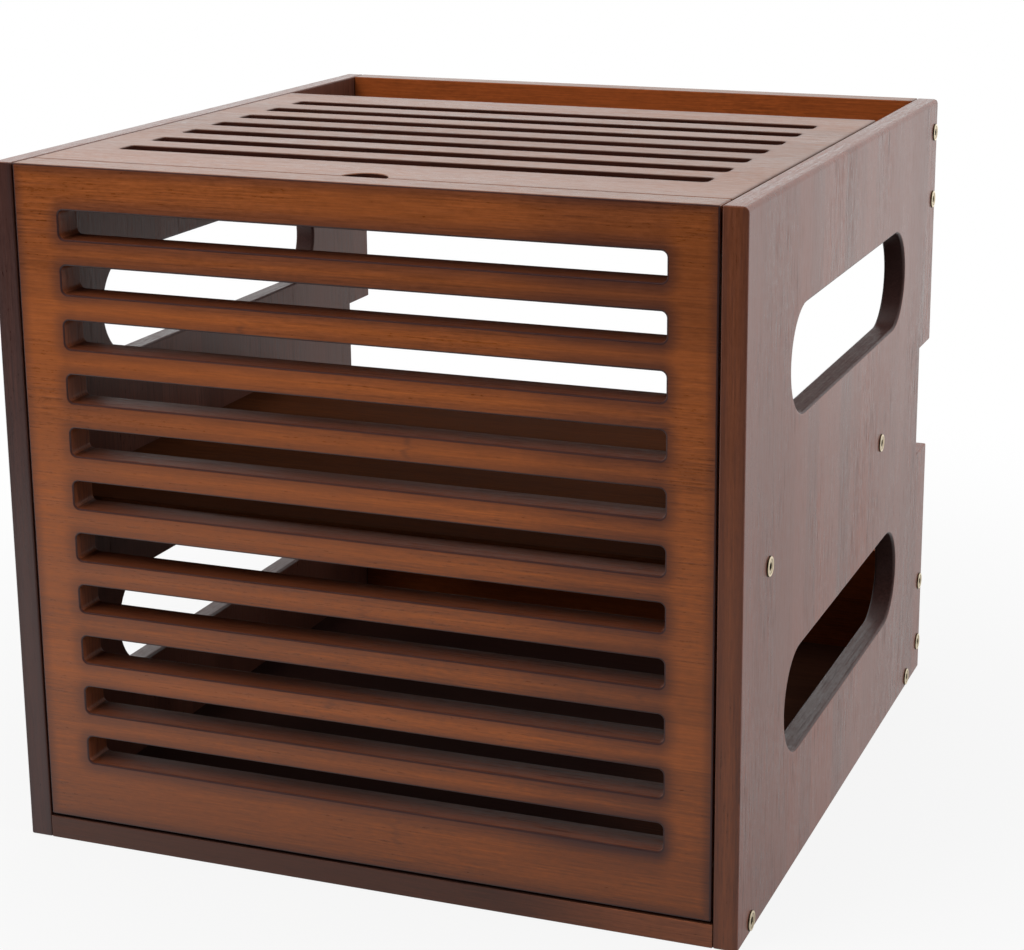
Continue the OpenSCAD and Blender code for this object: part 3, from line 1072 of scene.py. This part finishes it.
def ways_to_look(graph):
    """Two numbers: 1 for what is seen straight or through something, 1 for what is reflected."""
    path = graph.add("ShaderNodeLightPath", output="Is Camera Ray")
    return path.math("MAXIMUM", path.out("Is Transmission Ray")), path.out("Is Glossy Ray")


def surroundings():
    """A white room: it looks white, and lights and is reflected darker in front than behind."""
    world = bpy.data.worlds.new("studio")
    bpy.context.scene.world = world
    world.use_nodes = True
    graph = Graph(world.node_tree)
    heading = graph.add("ShaderNodeTexCoord", output="Generated")
    parts = graph.add("ShaderNodeSeparateXYZ", None, {0: heading})
    seen, mirrored = ways_to_look(graph)
    lit = graph.ease(parts.out("Y"), -0.95, -0.55, 0.15, 0.42)
    shine = graph.ease(parts.out("Y"), -0.5, 0.1, 0.05, 1.3) * graph.ease(
        parts.out("X"), -0.5, -0.2, 1, 0.84
    )
    strength = (lit + mirrored * (shine - lit)).math("MAXIMUM", seen)
    feed(graph, world.node_tree.nodes["Background"], "Color", graph.scale(WHITE, strength))


def floor_paint():
    """Pale grey that keeps the box's shadow near the box, and further out looks white."""
    material, graph, shader = bare_material("floor_paint")
    shader.inputs["Base Color"].default_value = (0.35, 0.35, 0.35, 1)
    shader.inputs["Roughness"].default_value = 0.8
    place = graph.add("ShaderNodeTexCoord", output="Object")
    parts = graph.add("ShaderNodeSeparateXYZ", None, {0: place})
    reach = graph.add("ShaderNodeVectorMath", {"operation": "LENGTH"}, {0: place}, "Value")
    seen, mirrored = ways_to_look(graph)
    fade = (seen * graph.ease(reach, 0.15, 0.7, 0.88, 1.0)).math("MAXIMUM", mirrored)
    # Reflected, the floor is bright close to the front, darker to the right and far out there
    rear = graph.ease(parts.out("Y"), -0.15, 0.05)
    near = 1.2 * graph.ease(parts.out("X"), -0.45, 0.1, 1, 0.5) * graph.ease(
        parts.out("Y"), -0.95, -0.5, 0.03, 1
    )
    shine = near + rear * (graph.ease(reach, 0.25, 1.3, 0.76, 1.12) - near)
    glow = graph.add(
        "ShaderNodeEmission", None, {"Color": graph.scale(WHITE, 1 + mirrored * (shine - 1))}
    )
    mixed = graph.add(
        "ShaderNodeMixShader",
        None,
        {0: fade, 1: Link(graph, shader.outputs[0]), 2: glow},
    )
    feed(graph, material.node_tree.nodes["Material Output"], "Surface", mixed)
    return material


def studio():
    """White surroundings, a pale floor a little under the box, and soft boxes."""
    bpy.context.scene.view_settings.view_transform = "Standard"
    surroundings()
    disc = bmesh.new()
    bmesh.ops.create_circle(disc, cap_ends=True, segments=96, radius=6)
    data = bpy.data.meshes.new("floor")
    disc.to_mesh(data)
    disc.free()
    floor = new_object("floor", data)
    floor.location.z = -0.2 * MM
    floor.data.materials.append(floor_paint())
    lamp("key", (-0.5, -0.75, 1.05), (0, -0.17, 0.2), 0.8, 0.8, 13.5, (1, 0.98, 0.95))
    lamp("fill", (1.6, -0.15, 1.1), (0.1, 0, 0.15), 1.2, 1.2, 18)
    lamp("rear", (0.4, 2.3, 0.9), (0, 0, 0.15), 3.6, 1.8, 40)
    lamp("overhead", (0, 0.4, 1.9), (0, 0, 0.2), 1.6, 1.6, 5)


# The box

place_camera()
BOARD_TREE = board_tree()

walnut_front = bamboo(
    "walnut_front",
    tint(140, 73, 25),
    tint(50, 24, 22),
    X,
    Z,
    rough=0.32,
    level=0.5,
    stain_and_shade=door_stain_and_shade,
    pores=0.1,
    marks=0.4,
    seed=66,
)
# Walls of the door's slots: their dark tones are painted shade, the long walls darker than the
# ends
walnut_cut_shaded = bamboo(
    "walnut_cut_shaded", tint(80, 41, 24), tint(46, 22, 18), X, Y, rough=0.5, level=0.14, pores=0.4
)
walnut_end = bamboo(
    "walnut_end", tint(112, 60, 36), tint(52, 26, 20), Z, Y, rough=0.5, level=0.2, pores=0.4
)
walnut_lid = bamboo(
    "walnut_lid", tint(106, 63, 36), tint(50, 28, 22), X, Y, 0.36, 0.65, lid_stain_and_shade, marks=0.3
)
# Walls of the lid's slots and finger notch: their near-black tone is painted shade
walnut_slot_shaded = bamboo(
    "walnut_slot_shaded", tint(46, 22, 16), tint(28, 16, 13), X, Z, rough=0.6, level=0.06, pores=0.5
)
walnut_crest = bamboo(
    "walnut_crest", tint(94, 54, 40), tint(44, 24, 20), Y, X, rough=0.3, level=0.5, pores=0.2
)
walnut_side = bamboo(
    "walnut_side",
    tint(105, 62, 50),
    tint(38, 25, 25),
    Z,
    Y,
    rough=0.32,
    level=0.36,
    pores=0.4,
    marks=0.1,
    seed=5,
    calm=0.4,
)
# Walls of the handle holes: their dark tone is painted shade
walnut_hole_shaded = bamboo(
    "walnut_hole_shaded", tint(56, 36, 33), tint(36, 24, 23), Y, X, rough=0.4, level=0.25
)
walnut_edge_left = bamboo(
    "walnut_edge_left", tint(64, 36, 30), tint(40, 22, 22), Z, X, 0.32, 0.5, edge_stain
)
walnut_edge_right = bamboo(
    "walnut_edge_right", tint(104, 56, 32), tint(66, 34, 26), Z, X, 0.34, 0.5, edge_stain
)
# Inner faces of the side panels: a darker copy of the side wood, as painted shade inside the case
walnut_within_shaded = bamboo(
    "walnut_within_shaded",
    tint(78, 46, 36),
    tint(38, 22, 20),
    Z,
    Y,
    rough=0.4,
    level=0.2,
    marks=0.1,
    seed=5,
    calm=0.4,
)
walnut_inner = bamboo(
    "walnut_inner", tint(126, 62, 26), tint(44, 24, 18), X, Z, 0.5, 0.15, inner_corner_shade, pores=0.2
)
# Shelf and base board inside the case: their dark tones are painted shade
walnut_shelf_shaded = bamboo(
    "walnut_shelf_shaded", tint(78, 42, 22), tint(34, 20, 16), X, Y, 0.85, 0.02, inner_corner_shade, pores=0.2
)
walnut_base_shaded = bamboo(
    "walnut_base_shaded", tint(66, 38, 26), tint(34, 20, 18), X, Y, 0.85, 0.02, base_darkening, pores=0.2
)
walnut_sill = bamboo(
    "walnut_sill", tint(116, 66, 42), tint(58, 37, 32), X, Z, 0.34, 0.35, base_darkening, pores=0.2
)
brass = metal("pale_brass", tint(240, 222, 188), 0.24, 5000)
steel = metal("ground_steel", tint(190, 192, 196), 0.3, 4000)

for piece, slot_name in (
    (side_panel("side_panel_left", -1, walnut_side, walnut_edge_left), "side_board"),
    (side_panel("side_panel_right", 1, walnut_side, walnut_edge_right), "side_board"),
    (front_door(walnut_front), "front_board"),
    (lid(walnut_lid), "lid_board"),
    (plain_board("base_board", walnut_base_shaded, [(walnut_sill, is_front)]), "front_board"),
    (plain_board("middle_shelf", walnut_shelf_shaded), "inner_board"),
    (plain_board("upper_rear_rail", walnut_inner, [(walnut_lid, is_top)]), "inner_board"),
    (plain_board("lower_rear_rail", walnut_inner), "inner_board"),
    (plain_board("lid_rest_left", walnut_inner, round_by=STOUT_ROUND), "inner_board"),
    (plain_board("lid_rest_right", walnut_inner, round_by=STOUT_ROUND), "inner_board"),
):
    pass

screws(brass)

# The CAD's own pins, magnets and keepers are kept
for node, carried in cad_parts.items():
    if "pin" in node or "magnet" in node or "keeper" in node:
        carried.data.materials.clear()
        carried.data.materials.append(steel)

studio()
